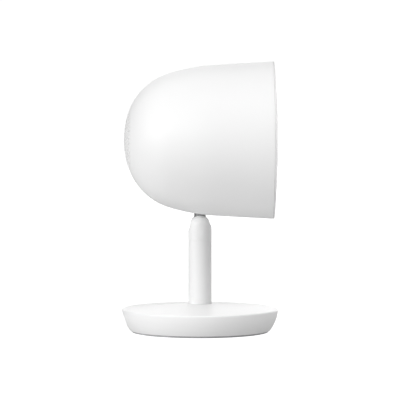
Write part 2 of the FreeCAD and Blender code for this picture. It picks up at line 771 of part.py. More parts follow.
def speaker_chamber():
    wall = 1.2
    room = peg(CHAMBER_FACE - 1, CHAMBER_END - wall, CHAMBER_R - wall)
    cup = peg(CHAMBER_FACE, CHAMBER_END, CHAMBER_R).cut(room)
    ears = []
    for angle in BOSS_ANGLES:
        ear = head_block(CHAMBER_EAR_X, (CHAMBER_R - 0.6, CHAMBER_BOSS_R), (-EAR_R, EAR_R))
        ear = ear.fuse(peg(CHAMBER_EAR_X[0], CHAMBER_EAR_X[1], EAR_R, CHAMBER_BOSS_R))
        ear.rotate(HEAD_AXIS, ALONG_X, angle)
        ears.append(ear)
    holes = [peg(-14, -11, 0.8, y, z) for y, z in around(CHAMBER_BOSS_R, BOSS_ANGLES)]
    return joined(cup, ears).cut(holes)


def chamber_screws():
    return group([pan_head_screw(CHAMBER_EAR_X[1], -1, 0.7, 5.0, y, z)
                  for y, z in around(CHAMBER_BOSS_R, BOSS_ANGLES)])


def speaker_frame():
    frame = head_turned([(FLANGE_FACE, 12.2), (FLANGE_FACE, 14.8), (CHAMBER_FACE, 14.8),
                         (CHAMBER_FACE, 13.4), (TOP_PLATE_X[0], 9.9), (TOP_PLATE_X[0], 6.4),
                         (-15.7, 6.4), (-15.7, 9.0), (-20.3, 12.2)])
    windows = []
    for turn in range(6):
        window = head_block((-19.6, -16.2), (8, 16), (-2.6, 2.6))
        window.rotate(HEAD_AXIS, ALONG_X, 60 * turn)
        windows.append(window)
    return frame.cut(windows)


def speaker_top_plate():
    return ring(TOP_PLATE_X[0], TOP_PLATE_X[1], 9.4, 5.4)


def speaker_magnet():
    return ring(TOP_PLATE_X[1], YOKE_X[0], 9.2, 6.2)


def speaker_yoke():
    return joined(peg(YOKE_X[0], YOKE_X[1], 9.4), [peg(TOP_PLATE_X[0], YOKE_X[0], 4.2)])


def speaker_cone():
    rim_x = FLANGE_FACE
    back_x = CONE_X - PAPER
    cap_middle, cap_tip = dome_arc((back_x, CAP_R), -19.4)
    return head_turned([
        (CONE_X, CAP_R), dome_arc((CONE_X, CAP_R), -19.0), cap_tip, (cap_middle, (back_x, CAP_R)),
        (back_x, CAP_R + PAPER), (rim_x, CONE_RIM_R - 0.9), (rim_x, CONE_RIM_R),
        (rim_x + 0.35, CONE_RIM_R), (rim_x + 0.35, CONE_RIM_R - 0.7), (CONE_X, COIL_R + 0.4),
    ])


def voice_coil():
    return ring(CONE_X, COIL_END_X, COIL_R + 0.4, COIL_R)


def speaker_surround():
    """Half-round roll of rubber between the cone's rim and the frame's flange."""
    face = FLANGE_FACE
    skin_x = face - 0.3
    return head_turned([
        (face, CONE_RIM_R - 0.5), (skin_x, CONE_RIM_R - 0.5), (skin_x, CONE_RIM_R),
        ((skin_x - 0.8, ROLL_R), (skin_x, ROLL_R + 1.0)), (skin_x, ROLL_R + 1.6),
        (face, ROLL_R + 1.6), (face, ROLL_R + 0.7), ((face - 0.75, ROLL_R), (face, ROLL_R - 0.7)),
    ])


def speaker_spider():
    return ring(-16.5, -16.2, 8.6, COIL_R + 0.45)


def speaker_gasket():
    return ring(-25, FLANGE_FACE, 14.6, 13.0).common(skin(WALL, 0))


def grille_cloth():
    return skin(WALL, 0).cut(skin(WALL + 0.3, 1)).common(peg(-30, -10, GRILLE_R + 0.8))


# ---------------------------------------------------------------- reset button

def reset_button():
    top_z = 44.7
    button = upright(40, top_z, BUTTON_R, BUTTON_X).common(skin(0, SEAM_X))
    return joined(button, [upright(44.15, top_z, BUTTON_R + 0.7, BUTTON_X)])


def button_switch():
    body_z = (45.6, 46.6)
    plunger = upright(45.25, body_z[0], 1.2, BUTTON_X)
    return joined(plunger, [block((CHASSIS_X[1], 20), (-3, 3), body_z)])


# ---------------------------------------------------------------- every node

PIECES = (
    base_shell, base_weight, base_plate, base_screws, foot_pad, post_tube, post_nut, post_fork,
    hinge_pins, pin_covers, power_socket, power_board, post_lead,
    neck_rod, hinge_washers, pan_washer, pan_stop, neck_clip, neck_lead,
    rear_shell, front_bezel, front_window, window_seal, window_mask,
    chassis, chassis_screws, pan_bracket, pan_bushing, bracket_screws,
    main_board, board_screws, shield_can, heat_spreader, antennas,
    lead_connector, head_lead,
    sensor_board, image_sensor, lens_holder, lens_barrel, lens_elements,
    front_board, ir_lamps, status_light, microphones,
    speaker_chamber, chamber_screws, speaker_frame, speaker_top_plate, speaker_magnet,
    speaker_yoke, speaker_surround, speaker_spider, speaker_gasket, grille_cloth,
    button_switch, speaker_cone, voice_coil, ir_filter, reset_button,
)


os.makedirs("parts", exist_ok=True)
for piece in PIECES:
    save(piece(), piece.__name__)
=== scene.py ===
import json
from math import asin, atan2, cos, hypot, pi, radians, sin, sqrt, tan

import bmesh
import bpy
from mathutils import Matrix, Vector, geometry


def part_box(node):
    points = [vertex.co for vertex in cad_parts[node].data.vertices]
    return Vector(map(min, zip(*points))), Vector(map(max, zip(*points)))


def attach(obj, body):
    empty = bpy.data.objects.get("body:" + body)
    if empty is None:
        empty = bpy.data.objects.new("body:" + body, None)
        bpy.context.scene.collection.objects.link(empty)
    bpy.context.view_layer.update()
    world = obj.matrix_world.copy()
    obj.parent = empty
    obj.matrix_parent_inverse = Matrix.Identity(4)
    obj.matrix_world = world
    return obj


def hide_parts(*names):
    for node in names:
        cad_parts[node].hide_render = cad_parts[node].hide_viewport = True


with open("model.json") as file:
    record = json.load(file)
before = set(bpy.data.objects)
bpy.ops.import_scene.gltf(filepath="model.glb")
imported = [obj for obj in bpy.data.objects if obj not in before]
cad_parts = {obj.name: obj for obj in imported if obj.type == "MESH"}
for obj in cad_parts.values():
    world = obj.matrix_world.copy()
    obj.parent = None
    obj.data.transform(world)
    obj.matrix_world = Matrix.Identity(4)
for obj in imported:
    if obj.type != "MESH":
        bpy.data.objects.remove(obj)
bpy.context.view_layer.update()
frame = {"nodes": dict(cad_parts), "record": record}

# A white smart speaker with a camera: bullet-shaped head, slim hinged post, round weighted base.
# Metres, in the frame's own axes: +Z up, +X towards the window, -X towards the sound holes.

MM = 0.001


def middle(part, axis):
    low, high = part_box(part)
    return (low[axis] + high[axis]) / 2


def half_size(part, axis):
    low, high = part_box(part)
    return (high[axis] - low[axis]) / 2


# ------------ driving sizes

TURN_STEPS = 192  # facets round the large turned pieces
POST_STEPS = 96  # and round the post
EDGE_STEPS = 4  # facets across a rounded edge
DOME_STEPS = 24  # and across a rounding of a millimetre or more

# base and post
BASE_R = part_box("base_shell")[1].x
BASE_TOP_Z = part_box("base_shell")[1].z
PAD_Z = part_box("foot_pad")[1].z
PAD_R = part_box("foot_pad")[1].x
PAD_BORE_R = 13.0 * MM
FLOOR_Z = -0.02 * MM  # just under the foot ring
BASE_FOOT_R = 25.75 * MM
BASE_RIM_Z = 8.31 * MM
LIP_RISE = 0.1 * MM  # height of the cone's foot above the rim
BASE_WALL = 1.6 * MM
BASE_LIP_R = 0.5 * MM
BOWL_MIDDLE = (27.8 * MM, 4.45 * MM)  # radius and height half way up the bowl's side
BOWL_INSIDE = (26.2 * MM, 4.0 * MM)
SEAT_R = 7.0 * MM
POST_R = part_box("post_tube")[1].y
POST_LOW_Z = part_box("post_tube")[0].z
POST_BORE_R = 3.35 * MM
POST_FLOOR_Z = 12.0 * MM
SPIGOT_R = 3.5 * MM
SPIGOT_BORE_R = 2.6 * MM
SOCKET_GAP = 0.3 * MM  # room round the power socket in the base's side
SOCKET_ROUND = 0.18 * MM
SOCKET_REACH = 0.7 * MM  # from the opening's edge to the edge of the patch round it
SOCKET_STEPS = 7
PLATE_GAP = 0.35 * MM  # from the base plate's edge to the bowl's wall

# tilt hinge
FORK_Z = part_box("post_tube")[1].z
FORK_LOW_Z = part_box("post_fork")[0].z
FORK_TOP_Z = 43.1 * MM  # top of the dome that the fork's two arms are cut from
FORK_ROUND_R = 3.9 * MM
LEAD_WAY_R = 1.3 * MM
CROWN_BORE_R = 0.3 * MM  # keeps the dome's top open; the slot swallows it
PIVOT_Z = middle("hinge_pins", 2)
PIN_R = half_size("hinge_pins", 2)
COVER_R = half_size("pin_covers", 2)
COVER_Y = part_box("hinge_pins")[1].y
NECK_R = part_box("neck_rod")[1].x
SWING_GAP = 0.32 * MM
SLOT_HALF = 2.3 * MM
LIP_X = 3.3 * MM  # where the relief of the slot's ends meets the cheeks
REAR_LIP_Z = (36.4 * MM, 39.4 * MM)
FRONT_LIP_Z = (38.2 * MM, 40.0 * MM)
TILT_UP = radians(35)
TILT_DOWN = radians(30)
CUT_REACH = 6.0 * MM  # far enough to cut through the post from side to side

# head: its outline is three tangent arcs and a straight draft
HEAD_Z = middle("front_window", 2)
BACK_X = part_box("rear_shell")[0].x
SEAM_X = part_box("rear_shell")[1].x
CROWN_R = 32.33 * MM
CROWN_TURN = radians(16.9)
SHOULDER_R = 22.79 * MM
SHOULDER_TURN = radians(73.2)
FLANK_R = 72.91 * MM
DRAFT = radians(3.2)
WALL = 1.8 * MM
BUSHING_SEAT_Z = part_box("pan_bushing")[0].z - 0.2 * MM
BUSHING_SEAT_R = 3.45 * MM
BUTTON_X = middle("reset_button", 0)
BUTTON_HOLE_R = 2.4 * MM
OPENING_REACH = 4.6 * MM  # from an opening's middle to the edge of the patch round it
OPENING_STEPS = 6  # facets of the shell from that middle to the patch's side
OPENING_ROUND = 0.16 * MM
OPENING_FACETS = 48

# screw posts inside the rear shell: (circle they stand on, radius, bore)
CHASSIS_BOSS = (23.8 * MM, 2.4 * MM, 0.9 * MM)
CHASSIS_BOSS_X = (2.0 * MM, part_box("chassis_screws")[1].x - 2.9 * MM)  # root and free end
CHAMBER_BOSS = (18.5 * MM, 2.0 * MM, 0.7 * MM)
CHAMBER_BOSS_END_X = -13.0 * MM
BOSS_TURNS = (90, 210, 330)
BOSS_FLOOR = 0.3  # part of a post's length below its bore

# sound holes
GRILLE_R = 10.7 * MM  # radius of the outermost ring of holes
HOLE_RINGS = 5
PATCH_R = 12.3 * MM  # edge of the pierced patch at the rounded end
HOLE_R = 0.5 * MM
HOLE_PITCH = 1.6 * MM  # between neighbours in a ring
HOLE_ROUND = 0.07 * MM
HOLE_FACETS = 16

# front plate and window
FRONT_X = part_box("front_window")[1].x
BEZEL_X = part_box("front_bezel")[0].x
SEAT_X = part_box("window_seal")[0].x
SEAL_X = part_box("window_seal")[1].x
WINDOW_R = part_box("front_window")[1].y
SEAM_GAP = 0.06 * MM
SEAM_ROUND = 0.08 * MM
RIM_X = 27.05 * MM
PLATE_X = 25.4 * MM
MIC_PLACE_R = 20.0 * MM
MIC_TURNS = (120, 240)  # measured from the bottom
MIC_HOLE_R = 0.45 * MM
MIC_REACH = 1.9 * MM
MIC_STEPS = 4
MIC_ROUND = 0.1 * MM
MIC_FACETS = 24


# ------------ camera

def direction(azimuth, elevation):
    """Unit vector away from the object; azimuth turns from the camera's side towards the window."""
    azimuth, elevation = radians(azimuth), radians(elevation)
    return Vector((sin(azimuth) * cos(elevation),
                   -cos(azimuth) * cos(elevation),
                   sin(elevation)))


def add_object(data):
    made = bpy.data.objects.new(data.name, data)
    bpy.context.scene.collection.objects.link(made)
    return made


def aimed(data, target, away, distance):
    """Object for a camera or a lamp that looks at the target from a distance."""
    made = add_object(data)
    made.location = target + away * distance
    made.rotation_mode = "QUATERNION"
    made.rotation_quaternion = (-away).to_track_quat("-Z", "Y")
    return made


def aim_camera():
    """Long lens, a little above the base and a touch to the left of square on."""
    azimuth, elevation, distance = -0.8, 3.9, 1.5
    field = 0.14608  # width of the picture at the object
    target = Vector((0.0, 0.0, 0.0482))
    data = bpy.data.cameras.new("camera")
    data.sensor_width = 36.0
    data.lens = data.sensor_width * distance / field
    data.clip_start = 0.1
    data.clip_end = 100.0
    bpy.context.scene.camera = aimed(data, target, direction(azimuth, elevation), distance)


# ------------ light and floor

# Softboxes round the object: azimuth and elevation in degrees, watts.
SOFTBOXES = (
    ("key_high", 30, 55, 2.95),
    ("key_right", 60, 60, 1.55),
    ("front_left", 330, 22, 1.8),
    ("fill_left", 300, 15, 4.5),
    ("rim_low", 150, 0, 4.6),
    ("rim_back", 180, 15, 1.6),
    ("top_back", 180, 60, 0.85),
)
SOFTBOX_SIZE = 0.5
SOFTBOX_DISTANCE = 1.0
LIGHT_TARGET = Vector((0.0, 0.0, 0.05))
FLOOR_R = 40.0
FLOOR_GREY = (0.25, 0.25, 0.25, 1)
WORLD_GLOW = 0.29  # soft light from the room
FLOOR_GLOW = 0.44  # and from the floor
FLOOR_SHADE = 0.8  # share of the floor's that is left beside the base, which stands in its way
FLOOR_SHADE_REACH = 75 * MM  # radius from which all of it is left
GLOSS_GLOW = 0.04  # what glossy surfaces mirror of floor and room
SEEN_GLOW = 1.0  # how bright floor and backdrop look to the eye


def softbox(name, azimuth, elevation, power):
    data = bpy.data.lights.new(name, "AREA")
    data.shape = "SQUARE"
    data.size = SOFTBOX_SIZE
    data.energy = power
    light = aimed(data, LIGHT_TARGET, direction(azimuth, elevation), SOFTBOX_DISTANCE)
    light.visible_camera = False


def seen_or_given(tree, given):
    """One strength for what the eye sees, others for what is mirrored and for soft light."""
    path = node(tree, "LightPath").outputs
    direct = calc(tree, "ADD", calc(tree, "MULTIPLY", path["Is Camera Ray"], SEEN_GLOW),
                  calc(tree, "MULTIPLY", path["Is Glossy Ray"], GLOSS_GLOW))
    return calc(tree, "ADD", direct, calc(tree, "MULTIPLY", path["Is Diffuse Ray"], given))


def light_studio():
    scene = bpy.context.scene
    scene.view_settings.view_transform = "Standard"
    world = bpy.data.worlds.new("studio")
    world.use_nodes = True
    scene.world = world
    background = world.node_tree.nodes["Background"]
    background.inputs["Color"].default_value = (1, 1, 1, 1)
    strength = seen_or_given(world.node_tree, WORLD_GLOW)
    world.node_tree.links.new(strength, background.inputs["Strength"])
    for box in SOFTBOXES:
        softbox(*box)


def lay_floor():
    bpy.ops.mesh.primitive_circle_add(vertices=96, radius=FLOOR_R, fill_type="NGON")
    floor = bpy.context.object
    floor.name = "floor"
    floor.location.z = FLOOR_Z
    material = bpy.data.materials.new("floor_white")
    material.use_nodes = True
    shader = material.node_tree.nodes["Principled BSDF"]
    shader.inputs["Base Color"].default_value = FLOOR_GREY
    shader.inputs["Roughness"].default_value = 0.9
    shader.inputs["Emission Color"].default_value = (1, 1, 1, 1)
    tree = material.node_tree
    away = node(tree, "VectorMath", {0: position(tree)}, operation="LENGTH").outputs["Value"]
    given = node(tree, "MapRange", {"Value": away, "From Min": BASE_R, "From Max": FLOOR_SHADE_REACH,
                                    "To Min": FLOOR_GLOW * FLOOR_SHADE, "To Max": FLOOR_GLOW})
    tree.links.new(seen_or_given(tree, given.outputs["Result"]), shader.inputs["Emission Strength"])
    floor.data.materials.append(material)


# ------------ material tools

def node(tree, kind, values=None, **settings):
    """A shader node; a value is a number, a colour or another node's output."""
    made = tree.nodes.new("ShaderNode" + kind)
    for key, value in settings.items():
        setattr(made, key, value)
    for socket, value in (values or {}).items():
        if isinstance(value, bpy.types.NodeSocket):
            tree.links.new(value, made.inputs[socket])
        else:
            made.inputs[socket].default_value = value
    return made


def fade(tree, factor, low, high):
    """Number that runs from low to high with the factor."""
    return node(tree, "MapRange", {"Value": factor, "To Min": low, "To Max": high}).outputs["Result"]


def threshold(tree, factor, low, high):
    """0 below low, 1 above high."""
    values = {"Value": factor, "From Min": low, "From Max": high}
    return node(tree, "MapRange", values).outputs["Result"]


def mixed(tree, factor, first, second):
    """Colour between two colours."""
    return node(tree, "Mix", {"Factor": factor, 6: first, 7: second}, data_type="RGBA").outputs[2]


def calc(tree, operation, first, second):
    return node(tree, "Math", {0: first, 1: second}, operation=operation).outputs["Value"]


def position(tree, stretch=(1.0, 1.0, 1.0)):
    """Place on the piece itself, in metres, squeezed along each axis."""
    coords = node(tree, "TexCoord").outputs["Object"]
    return node(tree, "Mapping", {"Vector": coords, "Scale": stretch}).outputs["Vector"]


def noise(tree, size, detail, stretch=(1.0, 1.0, 1.0)):
    """Cloudy pattern whose blotches are about size across."""
    return node(tree, "TexNoise", {"Vector": position(tree, stretch), "Scale": 1.0 / size,
                                   "Detail": detail}).outputs["Fac"]


def cells(tree, size):
    return node(tree, "TexVoronoi", {"Vector": position(tree), "Scale": 1.0 / size}).outputs["Distance"]


def bands(tree, pitch, axis, waviness=0.0):
    """Parallel ridges, one every pitch along an axis."""
    return node(tree, "TexWave", {"Vector": position(tree), "Scale": pi / 10 / pitch,
                                  "Distortion": waviness, "Detail": 1.0},
                bands_direction=axis).outputs["Fac"]


def shade(colour, factor):
    return tuple(channel * factor for channel in colour[:3]) + (1.0,)


def look(**sockets):
    """Turns a pattern into a maker of materials, with plain values set on the shader itself.

    The pattern gives colour, roughness, relief, the relief's depth in metres and any further links.
    """
    def wrap(pattern):
        def make(name, *values):
            material = bpy.data.materials.new(name)
            material.use_nodes = True
            tree = material.node_tree
            shader = tree.nodes["Principled BSDF"]
            for socket, value in sockets.items():
                shader.inputs[socket.replace("_", " ")].default_value = value
            colour, roughness, relief, depth, *further = pattern(tree, *values)
            links = {"Base Color": colour, "Roughness": roughness}
            if relief is not None:
                bump = node(tree, "Bump", {"Height": relief, "Distance": depth, "Strength": 1.0})
                links["Normal"] = bump.outputs["Normal"]
            links.update(*further)
            for socket, value in links.items():
                tree.links.new(value, shader.inputs[socket])
            return material
        return make
    return wrap


# ------------ materials

@look(Specular_IOR_Level=0.45)
def moulded(tree, colour, gloss, grain=0.22 * MM, depth=0.0022 * MM, drift=0.012):
    """Plastic from a spark-eroded mould: fine even grain, and a faint drift from where it flowed."""
    flow = noise(tree, 26 * MM, 3.0)
    fine = noise(tree, grain, 3.0)
    polish = calc(tree, "ADD", fade(tree, flow, gloss - 0.03, gloss + 0.03),
                  fade(tree, fine, -0.05, 0.05))
    return mixed(tree, flow, shade(colour, 1 - drift), shade(colour, 1 + drift)), polish, fine, depth


@look(Specular_IOR_Level=0.5)
def powder_coat(tree, colour):
    """Satin coat on metal: a soft orange peel with a finer grain on top."""
    peel = noise(tree, 0.75 * MM, 1.0)
    fine = noise(tree, 0.12 * MM, 2.0)
    relief = calc(tree, "ADD", peel, calc(tree, "MULTIPLY", fine, 0.25))
    return (mixed(tree, peel, shade(colour, 0.99), shade(colour, 1.01)), fade(tree, fine, 0.38, 0.5),
            relief, 0.0035 * MM)


@look(Metallic=1.0, Anisotropic=0.75)
def turned_metal(tree, colour, gloss, stretch):
    """Bright metal with fine tool lines round its axis, which draw highlights out along it."""
    around = node(tree, "Tangent", direction_type="RADIAL", axis="Z").outputs["Tangent"]
    lines = noise(tree, 2.2 * MM, 3.0, stretch)
    cloud = noise(tree, 3 * MM, 3.0)
    polish = calc(tree, "ADD", fade(tree, lines, gloss - 0.04, gloss + 0.06),
                  fade(tree, cloud, -0.03, 0.03))
    return (mixed(tree, lines, shade(colour, 0.93), shade(colour, 1.05)), polish,
            lines, 0.0006 * MM, {"Tangent": around})


@look(Metallic=1.0)
def plated_metal(tree, colour, gloss):
    """Zinc or nickel plate: small spangles and slight clouds of warmer and cooler tint."""
    cloud = noise(tree, 2.5 * MM, 4.0)
    spangle = cells(tree, 0.35 * MM)
    warm = (colour[0] * 1.06, colour[1], colour[2] * 0.92, 1.0)
    cool = (colour[0] * 0.93, colour[1] * 0.97, colour[2] * 1.04, 1.0)
    polish = calc(tree, "ADD", fade(tree, cloud, gloss - 0.06, gloss + 0.08),
                  fade(tree, spangle, 0.0, 0.1))
    return mixed(tree, cloud, cool, warm), polish, spangle, 0.0015 * MM


@look(Metallic=0.85)
def cast_iron(tree, colour):
    """Sand-cast surface with brown stains."""
    sand = noise(tree, 0.5 * MM, 6.0)
    stain = threshold(tree, noise(tree, 5 * MM, 4.0), 0.45, 0.7)
    brown = (colour[0] * 1.3, colour[1] * 0.95, colour[2] * 0.7, 1.0)
    return mixed(tree, stain, shade(colour, 1.0), brown), fade(tree, sand, 0.45, 0.75), sand, 0.05 * MM


@look(Specular_IOR_Level=0.3, Sheen_Weight=0.12)
def rubber(tree, colour, grain=0.12 * MM, depth=0.004 * MM):
    """Matt rubber or silicone with a little grey bloom."""
    bloom = threshold(tree, noise(tree, 4 * MM, 5.0), 0.45, 0.8)
    fine = noise(tree, grain, 2.0)
    return (mixed(tree, bloom, shade(colour, 1.0), shade(colour, 1.35)), fade(tree, fine, 0.68, 0.9),
            fine, depth)


@look(Specular_IOR_Level=0.2)
def foam(tree, colour):
    """Closed-cell foam: small cells with thin walls; painted shade darkens their hollows and painted
    light lightens the walls.
    """
    pit_relief_and_shade = cells(tree, 0.18 * MM)
    # painted shade in the hollows and painted light on the walls between them
    return (mixed(tree, threshold(tree, pit_relief_and_shade, 0.1, 0.7), shade(colour, 0.55), shade(colour, 1.5)),
            fade(tree, pit_relief_and_shade, 0.8, 1.0), pit_relief_and_shade, 0.03 * MM)


@look(Transmission_Weight=1.0, IOR=1.5)
def glass(tree, colour):
    """Clear or tinted glass or resin, with the faint haze that handling leaves."""
    haze = threshold(tree, noise(tree, 7 * MM, 5.0), 0.4, 0.8)
    return (mixed(tree, haze, shade(colour, 1.0), shade(colour, 1.04)), fade(tree, haze, 0.012, 0.05),
            None, 0)


@look(Transmission_Weight=1.0, IOR=1.6, Coat_Weight=0.6, Coat_Tint=(0.55, 0.45, 1.0, 1.0), Coat_IOR=1.9)
def coated_lens(tree, colour):
    """Lens glass with a purple-green coating, seen at a glance."""
    ripple = noise(tree, 3 * MM, 1.0)
    return (mixed(tree, ripple, shade(colour, 0.94), shade(colour, 1.05)), fade(tree, ripple, 0.0, 0.02),
            None, 0)


@look(Specular_IOR_Level=0.55, Coat_Weight=0.4, Coat_Roughness=0.18)
def circuit_board(tree, colour):
    """Solder mask over copper tracks, with tinned pads and small plated holes."""
    tracks = node(tree, "TexVoronoi", {"Vector": position(tree), "Scale": 1 / (1.7 * MM)},
                  distance="CHEBYCHEV").outputs["Distance"]
    copper = threshold(tree, calc(tree, "PINGPONG", tracks, 0.11), 0.045, 0.06)
    pads = threshold(tree, cells(tree, 1.1 * MM), 0.17, 0.13)
    mask = mixed(tree, copper, shade(colour, 0.7), shade(colour, 1.7))
    return (mixed(tree, pads, mask, (0.62, 0.5, 0.24, 1.0)), fade(tree, pads, 0.34, 0.22),
            calc(tree, "ADD", copper, pads), 0.018 * MM, {"Metallic": pads})


@look(Coat_Weight=1.0, Coat_Roughness=0.03)
def image_chip(tree, colour):
    """Dark sensor with a fine pixel grid, and blotches of violet painted sheen."""
    grid = calc(tree, "MULTIPLY", bands(tree, 0.05 * MM, "Y"), bands(tree, 0.05 * MM, "Z"))
    violet_painted_sheen = (colour[0] * 2.2, colour[1], colour[2] * 2.6, 1.0)
    # violet blotches: painted sheen of the sensor's microlenses
    return (mixed(tree, noise(tree, 2 * MM, 1.0), shade(colour, 1.0), violet_painted_sheen),
            fade(tree, grid, 0.15, 0.3), grid, 0.001 * MM)


@look(Specular_IOR_Level=0.5, Metallic=0.3)
def ferrite(tree, colour):
    """Gritty grey magnet with lighter chips."""
    grit = noise(tree, 0.15 * MM, 4.0)
    chips = threshold(tree, noise(tree, 1.6 * MM, 2.0), 0.62, 0.7)
    return (mixed(tree, chips, shade(colour, 0.9), shade(colour, 1.35)), fade(tree, grit, 0.4, 0.62),
            grit, 0.006 * MM)


@look(Specular_IOR_Level=0.2, Sheen_Weight=0.25)
def paper_cone(tree, colour):
    """Pressed pulp: short crossing fibres and a soft nap."""
    fibres = calc(tree, "MAXIMUM", noise(tree, 0.5 * MM, 3.0, (1.0, 5.0, 1.0)),
                  noise(tree, 0.5 * MM, 3.0, (1.0, 1.0, 5.0)))
    return (mixed(tree, fibres, shade(colour, 0.7), shade(colour, 1.6)), fade(tree, fibres, 0.75, 0.95),
            fibres, 0.02 * MM)


@look(Metallic=1.0, Coat_Weight=0.5)
def wound_wire(tree, colour):
    """Enamelled wire wound close along the axis, with painted shade in the grooves between windings and
    painted highlight on their crests.
    """
    winding_relief_and_shade = bands(tree, 0.12 * MM, "X")
    # painted shade between the windings and painted highlight on their crests
    return (mixed(tree, winding_relief_and_shade, shade(colour, 0.55), shade(colour, 1.15)),
            fade(tree, noise(tree, 2 * MM, 3.0), 0.2, 0.36), winding_relief_and_shade, 0.05 * MM)


@look(Specular_IOR_Level=0.2, Sheen_Weight=0.3)
def weave(tree, colour, pitch, relief):
    """Plain weave seen along the head's axis: yarns over and under each other, with painted shade in the
    gaps between them.
    """
    thread_relief_and_shade = calc(tree, "MAXIMUM", bands(tree, pitch, "Y", 0.15), bands(tree, pitch, "Z", 0.15))
    slub = noise(tree, 0.8 * MM, 3.0)
    yarn = mixed(tree, slub, shade(colour, 0.9), shade(colour, 1.1))
    # painted shade where the yarns part and dip under each other
    return mixed(tree, thread_relief_and_shade, shade(colour, 0.35), yarn), fade(tree, slub, 0.75, 0.95), thread_relief_and_shade, relief


WHITE = (0.85, 0.85, 0.85)
# painted light: the base's white is a lighter copy of the head's, making up for light the base gets too
# little of
BASE_WHITE_WITH_PAINTED_LIGHT = (0.92, 0.92, 0.92)

# What makes each slot's material, its colour and further values.
SLOTS = {
    "shell_white": (moulded, WHITE, 0.5),
    "front_white": (moulded, WHITE, 0.56),
    # the base's lighter white is painted light
    "base_white": (moulded, BASE_WHITE_WITH_PAINTED_LIGHT, 0.5),
    "post_white": (powder_coat, WHITE),
    "steel": (turned_metal, (0.58, 0.58, 0.585), 0.16, (1.0, 1.0, 30.0)),
    "zinc_steel": (plated_metal, (0.55, 0.55, 0.54), 0.3),
    "weight_iron": (cast_iron, (0.20, 0.20, 0.21)),
    "base_grey": (moulded, (0.30, 0.30, 0.31), 0.6, 0.35 * MM, 0.012 * MM, 0.05),
    "pad_rubber": (rubber, (0.45, 0.45, 0.46)),
    "seal_foam": (foam, (0.07, 0.07, 0.07)),
    "bearing_plastic": (moulded, (0.80, 0.78, 0.70), 0.42),
    "frame_black": (moulded, (0.035, 0.035, 0.04), 0.5, 0.25 * MM, 0.008 * MM, 0.12),
    "window_glass": (glass, (0.30, 0.30, 0.32)),
    "lens_glass": (coated_lens, (0.86, 0.84, 0.92)),
    "filter_glass": (glass, (0.80, 0.42, 0.45)),
    "lamp_clear": (glass, (0.90, 0.90, 0.94)),
    "circuit": (circuit_board, (0.02, 0.10, 0.05)),
    "sensor_die": (image_chip, (0.05, 0.06, 0.09)),
    "can_metal": (plated_metal, (0.70, 0.71, 0.72), 0.24),
    "spreader": (turned_metal, (0.66, 0.67, 0.68), 0.34, (1.0, 1.0, 20.0)),
    "antenna_metal": (turned_metal, (0.72, 0.52, 0.24), 0.22, (1.0, 1.0, 25.0)),
    "lead_black": (rubber, (0.03, 0.03, 0.03), 0.08 * MM, 0.002 * MM),
    "connector_ivory": (moulded, (0.78, 0.75, 0.66), 0.48),
    "switch_black": (moulded, (0.05, 0.05, 0.05), 0.45),
    "magnet_dark": (ferrite, (0.16, 0.16, 0.17)),
    "yoke_steel": (plated_metal, (0.50, 0.50, 0.50), 0.28),
    "cone_paper": (paper_cone, (0.08, 0.08, 0.085)),
    "coil_copper": (wound_wire, (0.72, 0.36, 0.18)),
    "surround_rubber": (rubber, (0.04, 0.04, 0.04)),
    "spider_cloth": (weave, (0.55, 0.45, 0.25), 0.3 * MM, 0.06 * MM),
    "grille_fabric": (weave, (0.62, 0.62, 0.62), 0.16 * MM, 0.04 * MM),
}
LOOKS = {name: make(name, *values) for name, (make, *values) in SLOTS.items()}


def dress_cad_nodes():
    """Every carried-over CAD node takes the look of its slot in the record."""
    slots = {part["node"]: part["material_slot"] for part in frame["record"]["subparts"]}
    for name, part in frame["nodes"].items():
        part.data.materials.clear()
        part.data.materials.append(LOOKS[slots[name]])


# ------------ surfaces with exact normals

class Surface:
    """Points and faces; every face corner has the normal of the true curved surface."""

    def __init__(self):
        self.points = []
        self.faces = []
        self.normals = []

    def ring(self, places):
        """Adds points and returns their numbers."""
        first = len(self.points)
        self.points.extend(places)
        return list(range(first, len(self.points)))

    def face(self, corners, normals):
        start, along, across = (self.points[i] for i in corners[:3])
        if (along - start).cross(across - start).dot(sum(normals, Vector())) < 0:
            corners = corners[::-1]
            normals = normals[::-1]
        self.faces.append(corners)
        self.normals.extend(normals)

    def band(self, first, second, first_normals, second_normals):
        """Faces between two closed rings of equal count."""
        for here in range(len(first)):
            after = (here + 1) % len(first)
            self.face([first[here], first[after], second[after], second[here]],
                      [first_normals[here], first_normals[after],
                       second_normals[after], second_normals[here]])

    def fill(self, outer, holes, drop, normal_at):
        """Triangles between a ring and the holes in it; drop is the axis to look along."""
        numbers = list(outer)
        owner = [-1] * len(outer)
        for count, hole in enumerate(holes):
            numbers += hole
            owner += [count] * len(hole)
        flat = [Vector([self.points[n][axis] for axis in range(3) if axis != drop]) for n in numbers]
        edges = []
        start = 0
        for ring in [outer] + holes:
            edges += [(start + i, start + (i + 1) % len(ring)) for i in range(len(ring))]
            start += len(ring)
        _, _, triangles, sources, _, _ = geometry.delaunay_2d_cdt(flat, edges, [], 1, 1e-9)
        for triangle in triangles:
            inputs = [sources[i][0] for i in triangle]
            owners = {owner[i] for i in inputs}
            if len(owners) == 1 and -1 not in owners:
                continue
            corners = [numbers[i] for i in inputs]
            self.face(corners, [normal_at(self.points[n]) for n in corners])

    def build(self, name, slot):
        mesh = bpy.data.meshes.new(name)
        mesh.from_pydata(self.points, [], self.faces)
        mesh.shade_smooth()
        mesh.normals_split_custom_set([normal.normalized() for normal in self.normals])
        mesh.materials.append(LOOKS[slot])
        return add_object(mesh)

    def place(self, name, body, slot, replaced):
        place_piece(self.build(name, slot), body, replaced)


def place_piece(piece, body, replaced):
    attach(piece, body)
    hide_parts(replaced)


def about_z(along, radius, angle):
    return Vector((radius * cos(angle), radius * sin(angle), along))


def about_head(along, radius, angle):
    """The head's axis is along X; angle 0 points down."""
    return Vector((along, radius * sin(angle), -radius * cos(angle)))


